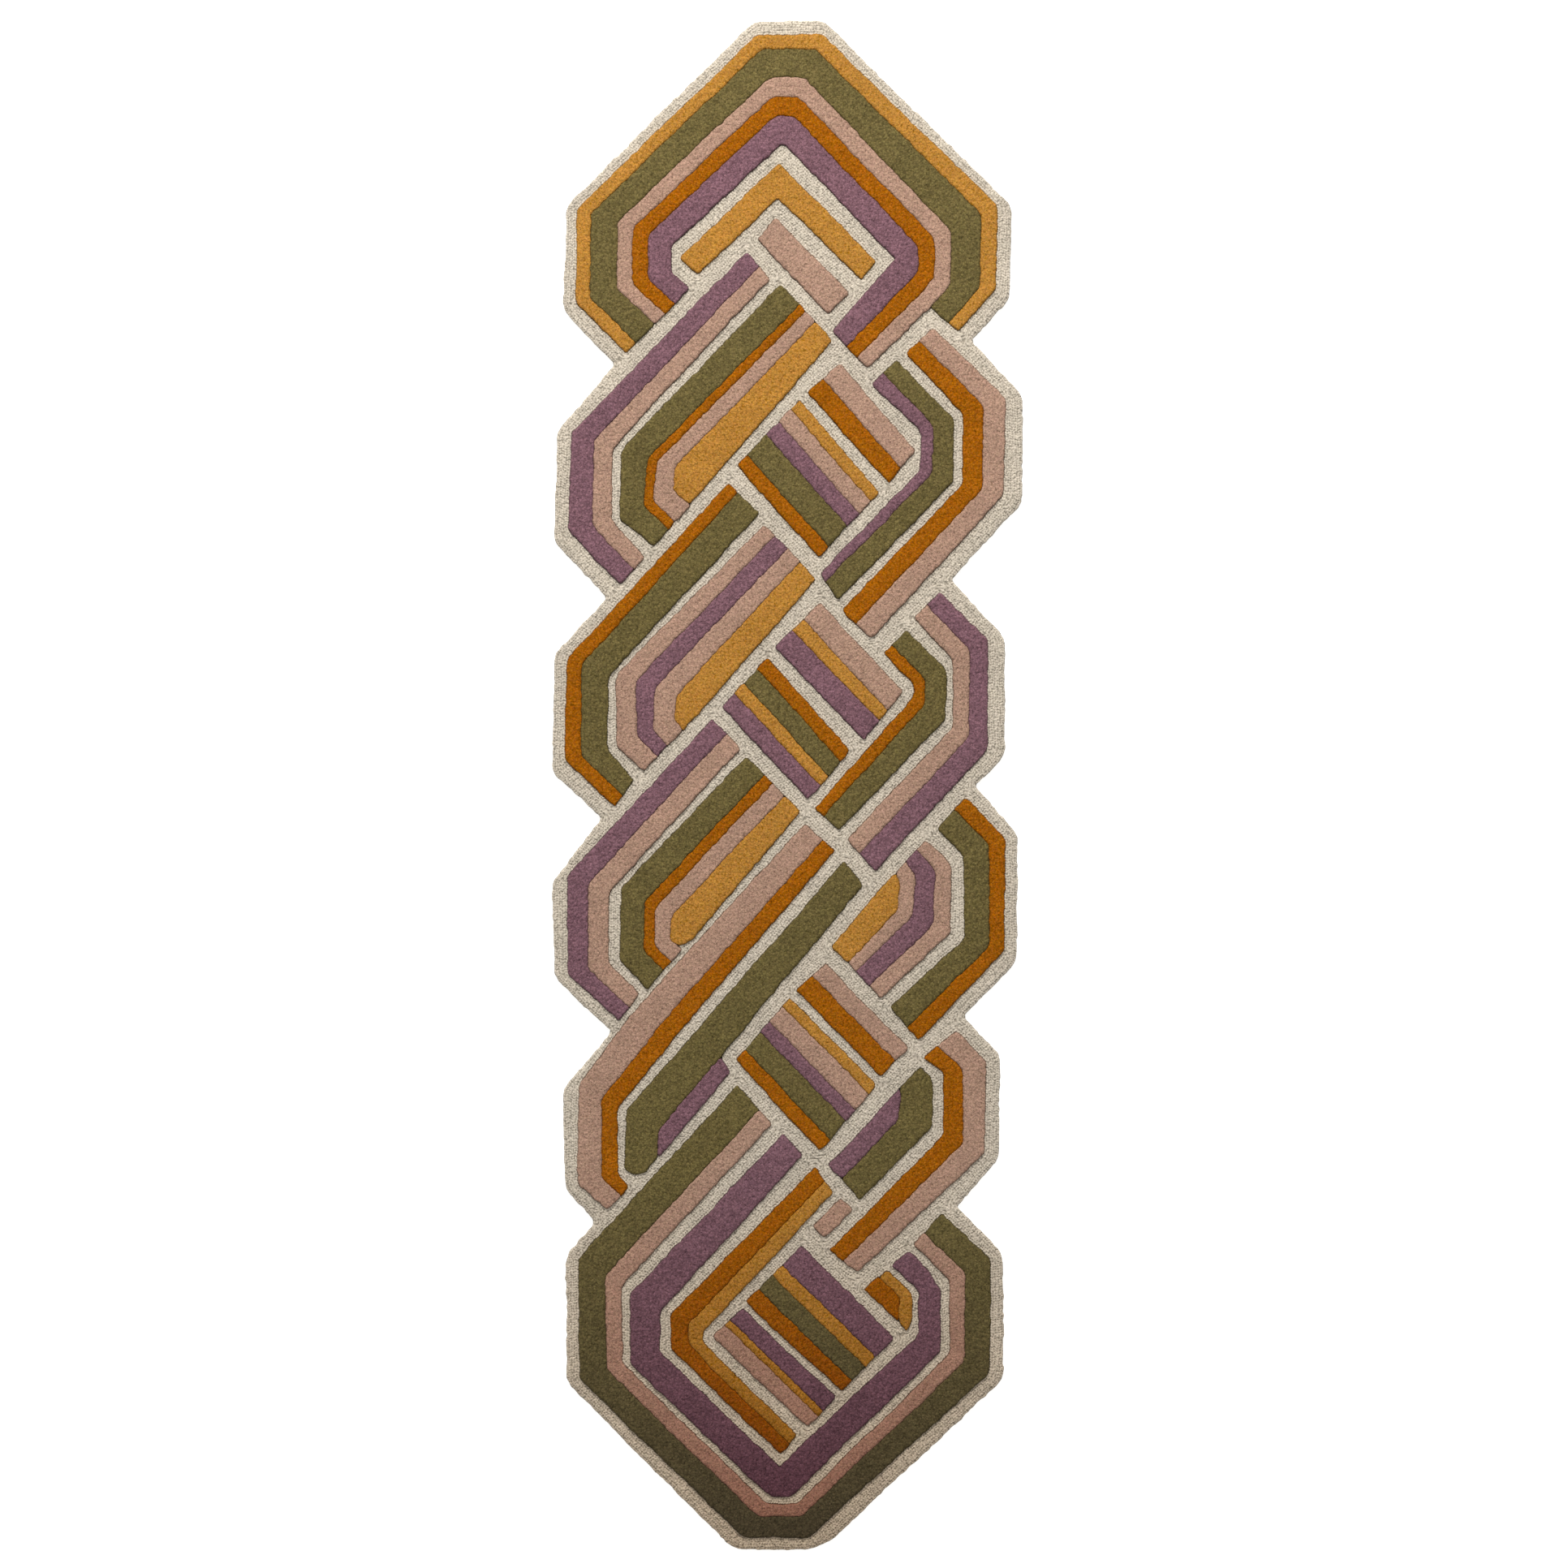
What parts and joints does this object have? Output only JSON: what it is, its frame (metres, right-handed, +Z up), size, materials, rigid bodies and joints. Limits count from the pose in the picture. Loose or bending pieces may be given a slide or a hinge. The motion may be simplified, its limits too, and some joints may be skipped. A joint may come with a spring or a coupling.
{
  "type": "runner rug",
  "caption": "Long hand-tufted runner rug whose edge follows interlaced bands of carved cut pile on a cream loop-pile ground.",
  "frame": {"origin": "centre of the rug's bounding box, on its underside", "axes": "+Y along the rug, towards the end with the pointed arch of stripes; +X across it, to the right when the arch is at the top; +Z up, out of the pile"},
  "size_m": [0.7497, 2.44, 0.0142],
  "materials": {
    "canvas": "plain-woven cotton canvas",
    "tufting_cloth": "plain-woven polyester and cotton cloth",
    "latex": "cured latex",
    "cream_wool": "loop pile wool yarn",
    "mustard_wool": "cut pile wool yarn",
    "amber_wool": "cut pile wool yarn",
    "olive_wool": "cut pile wool yarn",
    "pink_wool": "cut pile wool yarn",
    "purple_wool": "cut pile wool yarn"
  },
  "bodies": {
    "root": {"secondary_backing": "canvas", "latex_layer": "latex", "turned_hem": "tufting_cloth", "primary_backing": "tufting_cloth", "loop_pile_ground": "cream_wool", "arch_mustard": "mustard_wool", "arch_olive": "olive_wool", "arch_pink": "pink_wool", "arch_amber": "amber_wool", "arch_purple": "purple_wool", "left_1_purple": "purple_wool", "left_1_pink": "pink_wool", "right_1_pink": "pink_wool", "right_1_amber": "amber_wool", "right_1_olive": "olive_wool", "right_1_purple": "purple_wool", "left_2_amber": "amber_wool", "left_2_olive": "olive_wool", "right_2_purple": "purple_wool", "right_2_pink": "pink_wool", "right_2_olive": "olive_wool", "right_2_amber": "amber_wool", "left_3_purple": "purple_wool", "left_3_pink": "pink_wool", "right_3_amber": "amber_wool", "right_3_olive": "olive_wool", "left_4_pink": "pink_wool", "left_4_amber": "amber_wool", "right_4_pink": "pink_wool", "right_4_amber": "amber_wool", "base_olive": "olive_wool", "base_pink": "pink_wool", "base_amber": "amber_wool", "base_mustard": "mustard_wool", "core_left_1_olive_amber_pink": "olive_wool", "bars_1_upper_amber_pink": "amber_wool", "bars_1_lower_amber_olive_purple_pink_mustard": "amber_wool", "core_left_2_pink_purple_pink": "pink_wool", "bars_2_upper_purple_mustard_pink": "purple_wool", "bars_2_lower_purple_mustard_olive_amber": "purple_wool", "core_left_3_olive_amber_pink": "olive_wool", "core_right_3_pink_purple_pink": "pink_wool", "bars_3_upper_amber_pink": "amber_wool", "bars_3_lower_amber_olive_purple_pink_mustard": "amber_wool", "bars_4_upper_amber_olive_mustard_purple": "amber_wool", "bars_4_lower_pink_mustard_purple": "pink_wool", "chevron_mustard": "mustard_wool", "top_bar_pink": "pink_wool", "left_1_mustard": "mustard_wool", "left_2_mustard": "mustard_wool", "left_3_mustard": "mustard_wool", "left_4_olive": "olive_wool", "left_4_purple": "purple_wool", "right_3_mustard": "mustard_wool", "right_4_olive": "olive_wool", "right_4_purple": "purple_wool", "tie_pink": "pink_wool", "base_purple": "purple_wool", "knot_mustard": "mustard_wool", "knot_amber": "amber_wool"}
  },
  "joints": []
}
